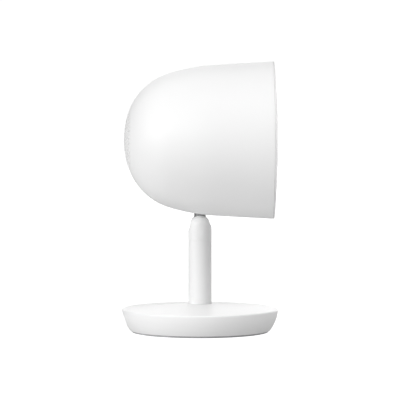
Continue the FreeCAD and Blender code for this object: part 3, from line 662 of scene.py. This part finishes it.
NO_OFFSET = Vector((0, 0, 0))
HEAD_OFFSET = Vector((0, 0, HEAD_Z))
AHEAD = Vector((1, 0, 0))
SHARP = cos(radians(32))  # an edge that turns by more keeps its two normals


def outline_normals(outline, closed):
    """For each point of an outline, its normal on the side before it and on the side after it."""
    count = len(outline)
    area = sum(outline[i][0] * outline[(i + 1) % count][1] - outline[(i + 1) % count][0] * outline[i][1]
               for i in range(count))
    side = 1 if area > 0 else -1
    runs = [outline[(i + 1) % count] - outline[i] for i in range(count)]
    flats = [Vector((run.y, -run.x)).normalized() * side for run in runs]
    pairs = []
    for i in range(count):
        before, after = flats[i - 1], flats[i]
        if not closed and i == 0:
            before = after
        if not closed and i == count - 1:
            after = before
        if before.dot(after) > SHARP:
            joint = (before * runs[i - 1].length + after * runs[i].length).normalized()
            pairs.append((joint, joint))
        else:
            pairs.append((before, after))
    return pairs


def rounded(corners):
    """Closed outline of (along, radius, rounding) corners; a corner without rounding stays sharp."""
    outline = []
    for i, corner in enumerate(corners):
        here = Vector(corner[:2])
        if len(corner) == 2:
            outline.append(here)
            continue
        back = (Vector(corners[i - 1][:2]) - here).normalized()
        onward = (Vector(corners[(i + 1) % len(corners)][:2]) - here).normalized()
        half = back.angle(onward) / 2
        centre = here + (back + onward).normalized() * corner[2] / sin(half)
        start = here + back * corner[2] / tan(half) - centre
        turn = pi - 2 * half
        if back.x * onward.y - back.y * onward.x > 0:
            turn = -turn
        steps = EDGE_STEPS if corner[2] < 1 * MM else DOME_STEPS
        for step in range(steps + 1):
            outline.append(centre + Matrix.Rotation(turn * step / steps, 2) @ start)
    return outline


def lathe(surface, outline, about, offset=NO_OFFSET, closed=True, gaps=(), steps=TURN_STEPS):
    """Turns an outline about an axis and returns its rows of point numbers.

    A gap is (first row, last row, first step, last step) of faces to leave out.
    """
    rows = []
    for along, radius in outline:
        if radius < 1e-9:
            rows.append(surface.ring([about(along, 0, 0) + offset]) * steps)
        else:
            rows.append(surface.ring([about(along, radius, 2 * pi * step / steps) + offset
                                      for step in range(steps)]))
    pairs = outline_normals(outline, closed)
    for i in range(len(outline) if closed else len(outline) - 1):
        after = (i + 1) % len(outline)
        if rows[i][0] == rows[i][1] and rows[after][0] == rows[after][1]:
            continue
        near, far = pairs[i][1], pairs[after][0]
        for step in range(steps):
            if any(a <= i < b and (step - c) % steps < (d - c) for a, b, c, d in gaps):
                continue
            angle = 2 * pi * step / steps
            turned = 2 * pi * (step + 1) / steps
            onward = (step + 1) % steps
            corners = [rows[i][step], rows[i][onward], rows[after][onward], rows[after][step]]
            normals = [about(near.x, near.y, angle), about(near.x, near.y, turned),
                       about(far.x, far.y, turned), about(far.x, far.y, angle)]
            kept = [k for k in range(4) if corners[k] not in corners[:k]]
            surface.face([corners[k] for k in kept], [normals[k] for k in kept])
    return rows


def rim_of_gap(rows, gap):
    """Point numbers round a gap in a lathe's rows."""
    first, last, left, right = gap
    steps = len(rows[first])
    ring = [rows[first][step % steps] for step in range(left, right)]
    ring += [rows[row][right % steps] for row in range(first, last)]
    ring += [rows[last][step % steps] for step in range(right, left, -1)]
    ring += [rows[row][left % steps] for row in range(last, first, -1)]
    return ring


def gap_round(outline, rows, low, high, left, right, value=0):
    """Gap that covers low to high, measured along the axis (value 0) or by radius (value 1)."""
    inside = [i for i in rows if low <= outline[i][value] <= high]
    return (min(inside) - 1, max(inside) + 1, left, right)


def three_point_arc(start, middle, end, steps):
    """Points on the arc through three points, and its centre."""
    a, b, c = Vector(start), Vector(middle), Vector(end)
    d = 2 * (a.x * (b.y - c.y) + b.x * (c.y - a.y) + c.x * (a.y - b.y))
    centre = Vector(((a.length_squared * (b.y - c.y) + b.length_squared * (c.y - a.y)
                      + c.length_squared * (a.y - b.y)) / d,
                     (a.length_squared * (c.x - b.x) + b.length_squared * (a.x - c.x)
                      + c.length_squared * (b.x - a.x)) / d))
    arm = a - centre
    turn = arm.angle_signed(c - centre)
    points = [centre + Matrix.Rotation(-turn * step / steps, 2) @ arm for step in range(steps + 1)]
    return points, centre


def circle_shape(centre, radius, count):
    """Function that gives a circle's points, grown by an amount, in two coordinates."""
    def shape(grown):
        return [Vector((centre[0] + (radius + grown) * cos(2 * pi * i / count),
                        centre[1] + (radius + grown) * sin(2 * pi * i / count)))
                for i in range(count)]
    return shape


def oblong_shape(centre, half_long, half_high, count):
    """As circle_shape, for a bar with round ends."""
    reach = half_long - half_high

    def shape(grown):
        radius = half_high + grown
        spots = []
        for side in (1, -1):
            for i in range(count // 2 + 1):
                angle = pi * i / (count // 2) - pi / 2
                spots.append(Vector((centre[0] + side * (reach + radius * cos(angle)),
                                     centre[1] + side * radius * sin(angle))))
        return spots
    return shape


def drill(surface, shape, outer_at, inner_rings, inward, normal_at, soft):
    """Hole with a rounded rim, from the outer skin to the inner one.

    outer_at lifts a flat point to the skin. inner_rings are the further rings, each a function of
    a flat point with its growth. Returns the ring on the outer skin and the last ring.
    """
    wide, narrow = shape(soft), shape(0)
    lift = [outer_at(spot) for spot in wide]
    walls = [(outer_at(a) - outer_at(b)) for a, b in zip(narrow, wide)]
    walls = [(wall - inward * wall.dot(inward)).normalized() for wall in walls]
    rings = []
    normals = []
    for step in range(EDGE_STEPS + 1):
        angle = pi / 2 * step / EDGE_STEPS
        spots = shape(soft * (1 - sin(angle)))
        sink = inward * soft * (1 - cos(angle))
        rings.append(surface.ring([outer_at(spot) + sink for spot in spots]))
        normals.append([normal_at(place) * cos(angle) + wall * sin(angle)
                        for place, wall in zip(lift, walls)])
    for step in range(EDGE_STEPS):
        surface.band(rings[step], rings[step + 1], normals[step], normals[step + 1])
    last = rings[-1]
    for grown, place_at in inner_rings:
        ring = surface.ring([place_at(spot) for spot in shape(grown)])
        moved = [surface.points[b] - surface.points[a] for a, b in zip(last, ring)]
        level = abs(moved[0].normalized().dot(inward)) < 0.5  # a step across, such as a seat
        faces = [inward] * len(ring) if level else walls
        surface.band(last, ring, faces, faces)
        last = ring
    return rings[0], last


# ------------ the head's outline

def arc_point(centre, radius, turn):
    return Vector((centre.x - radius * cos(turn), centre.y + radius * sin(turn)))


CROWN = Vector((BACK_X + CROWN_R, 0.0))
SHOULDER = arc_point(CROWN, CROWN_R - SHOULDER_R, CROWN_TURN)
FLANK = arc_point(SHOULDER, SHOULDER_R - FLANK_R, SHOULDER_TURN)
FLANK_END = pi / 2 - DRAFT
DRAFT_NORMAL = Vector((-sin(DRAFT), cos(DRAFT)))


def dome_x(radius, inset):
    """Where the rounded end lies at a distance from the head's axis."""
    if radius <= (CROWN_R - inset) * sin(CROWN_TURN):
        return CROWN.x - sqrt((CROWN_R - inset) ** 2 - radius ** 2)
    return SHOULDER.x - sqrt((SHOULDER_R - inset) ** 2 - (radius - SHOULDER.y) ** 2)


def side_r(x, inset):
    """Radius of the side at a place along the head's axis."""
    edge = arc_point(FLANK, FLANK_R - inset, FLANK_END)
    if x > edge.x:
        return edge.y + (x - edge.x) * tan(DRAFT)
    return FLANK.y + sqrt((FLANK_R - inset) ** 2 - (x - FLANK.x) ** 2)


def head_normal(place):
    """Outward normal of the head's skin at a point on or near it."""
    radial = Vector((0, place.y, place.z - HEAD_Z))
    spot = Vector((place.x, radial.length))
    flat = DRAFT_NORMAL
    for centre, last in ((CROWN, CROWN_TURN), (SHOULDER, SHOULDER_TURN), (FLANK, FLANK_END)):
        arm = spot - centre
        if atan2(arm.y, -arm.x) <= last:
            flat = arm.normalized()
            break
    if radial.length < 1e-9:
        return Vector((flat.x, 0, 0))
    return Vector((flat.x, 0, 0)) + radial.normalized() * flat.y


def skin_outline(inset, end_x):
    """Outline from the pierced patch's edge to the flat end."""
    start = asin((PATCH_R - SHOULDER.y) / (SHOULDER_R - inset))
    outline = []
    for centre, radius, first, last, steps in ((SHOULDER, SHOULDER_R, start, SHOULDER_TURN, 26),
                                               (FLANK, FLANK_R, SHOULDER_TURN, FLANK_END, 20)):
        outline += [arc_point(centre, radius - inset, first + (last - first) * i / steps)
                    for i in range(steps)]
    draft_steps = 14
    edge = arc_point(FLANK, FLANK_R - inset, FLANK_END)
    end = Vector((end_x, side_r(end_x, inset)))
    return outline + [edge.lerp(end, i / draft_steps) for i in range(draft_steps + 1)]


# ------------ rear shell

def sound_hole_places():
    """Rings of holes round one in the middle, every second ring turned by half a pitch."""
    places = [(0.0, HEAD_Z)]
    for step in range(1, HOLE_RINGS + 1):
        radius = GRILLE_R * step / HOLE_RINGS
        count = 2 * round(pi * radius / HOLE_PITCH)
        for index in range(count):
            angle = 2 * pi * (index + 0.5 * (step % 2)) / count
            places.append((-radius * cos(angle), HEAD_Z + radius * sin(angle)))
    return places


def facing_place(spot, x_at):
    """Lifts a point seen along the head's axis to a turned surface."""
    return Vector((x_at(hypot(spot.x, spot.y - HEAD_Z)), spot.x, spot.y))


def dome_place(spot, inset):
    return facing_place(spot, lambda radius: dome_x(radius, inset))


def underside_place(spot, inset):
    radius = side_r(spot.x, inset)
    return Vector((spot.x, spot.y, HEAD_Z - sqrt(radius ** 2 - spot.y ** 2)))


def inside(normal_at):
    return lambda place: -normal_at(place)


def shell_boss(surface, turn, sizes, root_at, end_x):
    """Screw post that grows out of the shell's inside: a ring at the wall, a bored free end."""
    circle_r, radius, bore = sizes
    count = 24
    centre = (circle_r * cos(turn), HEAD_Z + circle_r * sin(turn))
    outer = circle_shape(centre, radius, count)(0)
    hole = circle_shape(centre, bore, count)(0)
    sides = [Vector((0, cos(2 * pi * i / count), sin(2 * pi * i / count))) for i in range(count)]
    inward = [-side for side in sides]
    forward = [AHEAD] * count
    root = [facing_place(spot, root_at) for spot in outer]
    wall_x = max(place.x for place in root)
    floor_x = wall_x + (end_x - wall_x) * BOSS_FLOOR
    root_ring = surface.ring(root)
    top_ring, lip_ring, floor_ring = (surface.ring([Vector((x, spot.x, spot.y)) for spot in spots])
                                      for x, spots in ((end_x, outer), (end_x, hole), (floor_x, hole)))
    surface.band(root_ring, top_ring, sides, sides)
    surface.band(top_ring, lip_ring, forward, forward)
    surface.band(lip_ring, floor_ring, inward, inward)
    surface.face(floor_ring, forward)
    surface.face(root_ring, [-AHEAD] * count)


def make_rear_shell():
    surface = Surface()
    outside = skin_outline(0, SEAM_X)
    lining = skin_outline(WALL, SEAM_X)[::-1]
    ends = rounded([tuple(outside[-2]), tuple(outside[-1]) + (SEAM_ROUND,),
                    tuple(lining[0]) + (SEAM_ROUND,), tuple(lining[1])])
    outline = outside[:-1] + ends[1:-1] + lining[1:]
    outer_rows = range(len(outside) - 1)
    inner_rows = range(len(outline) - len(lining) + 2, len(outline))
    gaps = [gap_round(outline, rows, x - OPENING_REACH, x + OPENING_REACH, -OPENING_STEPS, OPENING_STEPS)
            for rows in (outer_rows, inner_rows) for x in (0.0, BUTTON_X)]
    rows = lathe(surface, outline, about_head, HEAD_OFFSET, False, gaps)

    holes = [drill(surface, circle_shape(place, HOLE_R, HOLE_FACETS), lambda spot: dome_place(spot, 0),
                   [(0, lambda spot: dome_place(spot, WALL))], AHEAD, head_normal, HOLE_ROUND)
             for place in sound_hole_places()]
    surface.fill(rows[0], [hole[0] for hole in holes], 0, head_normal)
    surface.fill(rows[-1], [hole[1] for hole in holes], 0, inside(head_normal))

    neck_way_r = NECK_R + SWING_GAP
    seat_grown = BUSHING_SEAT_R - neck_way_r
    neck_rings = [(0, lambda spot: Vector((spot.x, spot.y, BUSHING_SEAT_Z))),
                  (seat_grown, lambda spot: Vector((spot.x, spot.y, BUSHING_SEAT_Z))),
                  (seat_grown, lambda spot: underside_place(spot, WALL))]
    button_rings = [(0, lambda spot: underside_place(spot, WALL))]
    for number, (x, radius, rings) in enumerate(((0.0, neck_way_r, neck_rings),
                                                 (BUTTON_X, BUTTON_HOLE_R, button_rings))):
        outer, inner = drill(surface, circle_shape((x, 0.0), radius, OPENING_FACETS),
                             lambda spot: underside_place(spot, 0), rings,
                             Vector((0, 0, 1)), head_normal, OPENING_ROUND)
        surface.fill(rim_of_gap(rows, gaps[number]), [outer], 2, head_normal)
        surface.fill(rim_of_gap(rows, gaps[number + 2]), [inner], 2, inside(head_normal))

    root_x, end_x = CHASSIS_BOSS_X
    for turn in BOSS_TURNS:
        shell_boss(surface, radians(turn), CHASSIS_BOSS, lambda radius: root_x, end_x)
        shell_boss(surface, radians(turn), CHAMBER_BOSS,
                   lambda radius: dome_x(radius, WALL / 2), CHAMBER_BOSS_END_X)
    surface.place("rear_shell_skin", "head", "shell_white", "rear_shell")


# ------------ front plate and window

RIM_R = side_r(RIM_X, 0)
FACE_R = (RIM_R ** 2 + (FRONT_X - RIM_X) ** 2) / (2 * (FRONT_X - RIM_X))


def face_x(radius):
    """Crowned face of the front plate and window."""
    return FRONT_X - FACE_R + sqrt(FACE_R ** 2 - radius ** 2)


def face_normal(place):
    return (place - Vector((FRONT_X - FACE_R, 0, HEAD_Z))).normalized()


def face_points(low_r, high_r, steps):
    """Points on the crowned face between two radii, without the two ends."""
    radii = [low_r + (high_r - low_r) * i / steps for i in range(1, steps)]
    return [(face_x(radius), radius) for radius in radii]


def make_front_bezel():
    surface = Surface()
    fit = 0.1 * MM
    soft = 0.12 * MM
    edge_x = SEAM_X + SEAM_GAP
    lip_r = side_r(SEAM_X, 0) - WALL - fit
    lip_inner_r = lip_r - 1.5 * MM
    lip_taper = 0.25 * MM
    inner_r = WINDOW_R + fit
    seat_r = WINDOW_R - 0.8 * MM
    back_steps = 12
    corners = [(SEAT_X, inner_r), (face_x(inner_r), inner_r, soft)] + face_points(inner_r, RIM_R, 14)
    corners += [(face_x(RIM_R), RIM_R, 0.3 * MM), (edge_x, side_r(edge_x, 0), SEAM_ROUND),
                (edge_x, lip_r), (BEZEL_X, lip_r - lip_taper, soft), (BEZEL_X, lip_inner_r, soft)]
    corners += [(PLATE_X, lip_inner_r + (seat_r - lip_inner_r) * i / back_steps)
                for i in range(back_steps + 1)]
    corners.append((SEAT_X, seat_r))
    outline = rounded(corners)
    face_rows = [i for i in range(len(outline)) if outline[i].x > SEAT_X]
    back_rows = [i for i in range(len(outline)) if abs(outline[i].x - PLATE_X) < 0.01 * MM]
    gaps = []
    for angle in MIC_TURNS:
        step = round(angle / 360 * TURN_STEPS)
        gaps += [gap_round(outline, rows, MIC_PLACE_R - MIC_REACH, MIC_PLACE_R + MIC_REACH,
                           step - MIC_STEPS, step + MIC_STEPS, 1) for rows in (face_rows, back_rows)]
    rows = lathe(surface, outline, about_head, HEAD_OFFSET, True, gaps)
    for number, angle in enumerate(MIC_TURNS):
        centre = about_head(0, MIC_PLACE_R, radians(angle)) + HEAD_OFFSET
        outer, inner = drill(
            surface, circle_shape((centre.y, centre.z), MIC_HOLE_R, MIC_FACETS),
            lambda spot: facing_place(spot, face_x),
            [(0, lambda spot: Vector((PLATE_X, spot.x, spot.y)))], -AHEAD, face_normal, MIC_ROUND)
        surface.fill(rim_of_gap(rows, gaps[2 * number]), [outer], 0, face_normal)
        surface.fill(rim_of_gap(rows, gaps[2 * number + 1]), [inner], 0, lambda place: -AHEAD)
    surface.place("front_plate", "head", "front_white", "front_bezel")


def make_front_window():
    surface = Surface()
    corners = [(SEAL_X, 0), (FRONT_X, 0)] + face_points(0, WINDOW_R, 10)
    corners += [(face_x(WINDOW_R), WINDOW_R, 0.16 * MM), (SEAL_X, WINDOW_R, 0.06 * MM)]
    lathe(surface, rounded(corners), about_head, HEAD_OFFSET)
    surface.place("window_pane", "head", "window_glass", "front_window")


# ------------ base

def base_top(radius):
    """Height of the base's shallow conical top."""
    slope = (BASE_TOP_Z - BASE_RIM_Z - LIP_RISE) / (BASE_R - BASE_LIP_R - POST_R)
    return BASE_TOP_Z - slope * (radius - POST_R)


def make_base_shell():
    surface = Surface()
    lip = BASE_LIP_R
    bend = lip * (1 - sqrt(0.5))
    lip_z = base_top(BASE_R - lip)
    inner_r = BASE_R - BASE_WALL - PLATE_GAP
    seat_z = BASE_TOP_Z - BASE_WALL
    bowl_steps = 18
    foot_round = 0.12 * MM
    foot_inner_r = BASE_FOOT_R - BASE_WALL + 0.15 * MM
    side, side_centre = three_point_arc((PAD_Z, BASE_FOOT_R), BOWL_MIDDLE[::-1],
                                        (lip_z - lip, BASE_R), bowl_steps)
    rim, _ = three_point_arc((lip_z - lip, BASE_R), (lip_z - bend, BASE_R - bend),
                             (lip_z, BASE_R - lip), 2 * EDGE_STEPS)
    lining, lining_centre = three_point_arc((base_top(inner_r) - BASE_WALL, inner_r), BOWL_INSIDE[::-1],
                                            (PAD_Z, foot_inner_r), bowl_steps)
    corners = [tuple(side[0]) + (foot_round,)] + [tuple(spot) for spot in side[1:] + rim[1:]]
    top_steps = 8
    corners += [(base_top(r), r) for r in (BASE_R - lip + (POST_R - BASE_R + lip) * i / top_steps
                                           for i in range(1, top_steps))]
    spigot_way_r = SPIGOT_R + 0.05 * MM
    corners += [(BASE_TOP_Z, POST_R), (BASE_TOP_Z, spigot_way_r),
                (seat_z, spigot_way_r), (seat_z, SEAT_R)]
    corners += [tuple(spot) for spot in lining]
    outline = rounded(corners)
    mouth_z = middle("power_socket", 2)
    mouth_half = half_size("power_socket", 2) + SOCKET_GAP
    shape = oblong_shape((0.0, mouth_z), half_size("power_socket", 1) + SOCKET_GAP, mouth_half, 24)
    reach = mouth_half + SOCKET_REACH
    rear = TURN_STEPS // 2
    top_row = max(range(len(outline)), key=lambda i: outline[i].y)
    gaps = [gap_round(outline, rows, mouth_z - reach, mouth_z + reach,
                      rear - SOCKET_STEPS, rear + SOCKET_STEPS)
            for rows in (range(top_row), range(len(outline) - len(lining), len(outline)))]
    rows = lathe(surface, outline, about_z, NO_OFFSET, True, gaps)

    def bowl(spot, centre, arm):
        radius = centre.y + sqrt(arm ** 2 - (spot.y - centre.x) ** 2)
        return Vector((-sqrt(radius ** 2 - spot.x ** 2), spot.x, spot.y))

    def bowl_normal(place):
        radius = hypot(place.x, place.y)
        flat = Vector((place.z, radius)) - side_centre
        return Vector((place.x / radius * flat.y, place.y / radius * flat.y, flat.x)).normalized()

    side_arm = (side[0] - side_centre).length
    lining_arm = (lining[0] - lining_centre).length
    outer, inner = drill(surface, shape, lambda spot: bowl(spot, side_centre, side_arm),
                         [(0, lambda spot: bowl(spot, lining_centre, lining_arm))],
                         AHEAD, bowl_normal, SOCKET_ROUND)
    surface.fill(rim_of_gap(rows, gaps[0]), [outer], 0, bowl_normal)
    surface.fill(rim_of_gap(rows, gaps[1]), [inner], 0, inside(bowl_normal))
    surface.place("base_bowl", "base", "base_white", "base_shell")


def make_foot_pad():
    surface = Surface()
    soft = 0.18 * MM
    corners = [(0, PAD_BORE_R), (0, PAD_R), (PAD_Z, PAD_R), (PAD_Z, PAD_BORE_R)]
    lathe(surface, rounded([corner + (soft,) for corner in corners]), about_z)
    surface.place("foot_ring", "base", "pad_rubber", "foot_pad")


# ------------ post

def make_post_tube():
    surface = Surface()
    soft = 0.1 * MM
    lathe(surface, rounded([(POST_LOW_Z, SPIGOT_R, soft), (BASE_TOP_Z, SPIGOT_R),
                            (BASE_TOP_Z, POST_R, soft), (FORK_Z, POST_R, soft),
                            (FORK_Z, POST_BORE_R, soft), (POST_FLOOR_Z, POST_BORE_R),
                            (POST_FLOOR_Z, SPIGOT_BORE_R), (POST_LOW_Z, SPIGOT_BORE_R, soft)]),
          about_z, steps=POST_STEPS)
    surface.place("post_sleeve", "base", "post_white", "post_tube")


def cutter(outline, low_y, high_y):
    """Solid between two planes across Y, from (x, z) points."""
    mesh = bpy.data.meshes.new("cut")
    count = len(outline)
    points = [(x, y, z) for y in (low_y, high_y) for x, z in outline]
    faces = [tuple(range(count)), tuple(range(2 * count - 1, count - 1, -1))]
    faces += [(i, i + count, (i + 1) % count + count, (i + 1) % count) for i in range(count)]
    mesh.from_pydata(points, [], faces)
    shaped = bmesh.new()
    shaped.from_mesh(mesh)
    bmesh.ops.recalc_face_normals(shaped, faces=shaped.faces)
    shaped.to_mesh(mesh)
    shaped.free()
    return add_object(mesh)


def disc_outline(radius, count=48):
    return [(radius * cos(2 * pi * (i + 0.5) / count),
             PIVOT_Z + radius * sin(2 * pi * (i + 0.5) / count)) for i in range(count)]


def swing_outline():
    """Space that the neck sweeps: a wedge over the hinge's axis with a round floor."""
    reach = 9.0 * MM
    half = NECK_R + SWING_GAP
    floor_steps = 24
    lean_front, lean_rear = -TILT_DOWN, pi + TILT_UP
    outline = [(half * cos(angle), PIVOT_Z + half * sin(angle))
               for angle in (lean_rear + (lean_front + 2 * pi - lean_rear) * i / floor_steps
                             for i in range(floor_steps + 1))]
    front, rear = outline[-1], outline[0]
    outline.append((front[0] + reach * sin(TILT_DOWN), front[1] + reach * cos(TILT_DOWN)))
    outline.append((rear[0] - reach * sin(TILT_UP), rear[1] + reach * cos(TILT_UP)))
    return outline


def lip_outline(side, low_z, high_z):
    """Relief that rounds off the slot's floor where it meets the outside of the fork."""
    outer_x = POST_R + 0.3 * MM
    outer_drop = 0.9 * MM
    middle_x = LIP_X + 0.62 * MM
    arc, _ = three_point_arc((outer_x, low_z - outer_drop), (middle_x, (low_z + high_z) / 2),
                             (LIP_X, high_z), 10)
    above_z = FORK_TOP_Z + 1 * MM
    outline = [tuple(spot) for spot in arc] + [(LIP_X, above_z), (outer_x, above_z)]
    return [(side * x, z) for x, z in outline]


def make_post_fork():
    surface = Surface()
    lathe(surface, rounded([(FORK_LOW_Z, LEAD_WAY_R), (FORK_LOW_Z, POST_BORE_R, 0.15 * MM),
                            (FORK_Z, POST_BORE_R), (FORK_Z, POST_R, 0.1 * MM),
                            (FORK_TOP_Z, POST_R, FORK_ROUND_R), (FORK_TOP_Z, CROWN_BORE_R),
                            (PIVOT_Z, CROWN_BORE_R), (PIVOT_Z, LEAD_WAY_R)]),
          about_z, steps=POST_STEPS)
    fork = surface.build("post_top", "post_white")
    cuts = [cutter(swing_outline(), -SLOT_HALF, SLOT_HALF),
            cutter(lip_outline(-1, *REAR_LIP_Z), -SLOT_HALF, SLOT_HALF),
            cutter(lip_outline(1, *FRONT_LIP_Z), -SLOT_HALF, SLOT_HALF),
            cutter(disc_outline(PIN_R), -CUT_REACH, CUT_REACH),
            cutter(disc_outline(COVER_R), COVER_Y, CUT_REACH),
            cutter(disc_outline(COVER_R), -CUT_REACH, -COVER_Y)]
    for cut in cuts:
        boolean = fork.modifiers.new("cut", "BOOLEAN")
        boolean.operation = "DIFFERENCE"
        boolean.solver = "EXACT"
        boolean.object = cut
    bevel = fork.modifiers.new("soft_edges", "BEVEL")
    bevel.width = 0.1 * MM
    bevel.segments = 3
    bevel.limit_method = "ANGLE"
    bevel.angle_limit = radians(35)
    bevel.harden_normals = True
    settle(fork, cuts)
    place_piece(fork, "base", "post_fork")


def settle(piece, cutters):
    """Makes the modifiers' result the piece's own mesh and removes what cut it."""
    bpy.context.view_layer.update()
    shaped = bpy.data.meshes.new_from_object(piece.evaluated_get(bpy.context.evaluated_depsgraph_get()))
    piece.modifiers.clear()
    piece.data = shaped
    for used in cutters:
        bpy.data.meshes.remove(used.data)


# ------------ the whole object

aim_camera()
light_studio()
lay_floor()
dress_cad_nodes()
make_rear_shell()
make_front_bezel()
make_front_window()
make_base_shell()
make_foot_pad()
make_post_tube()
make_post_fork()
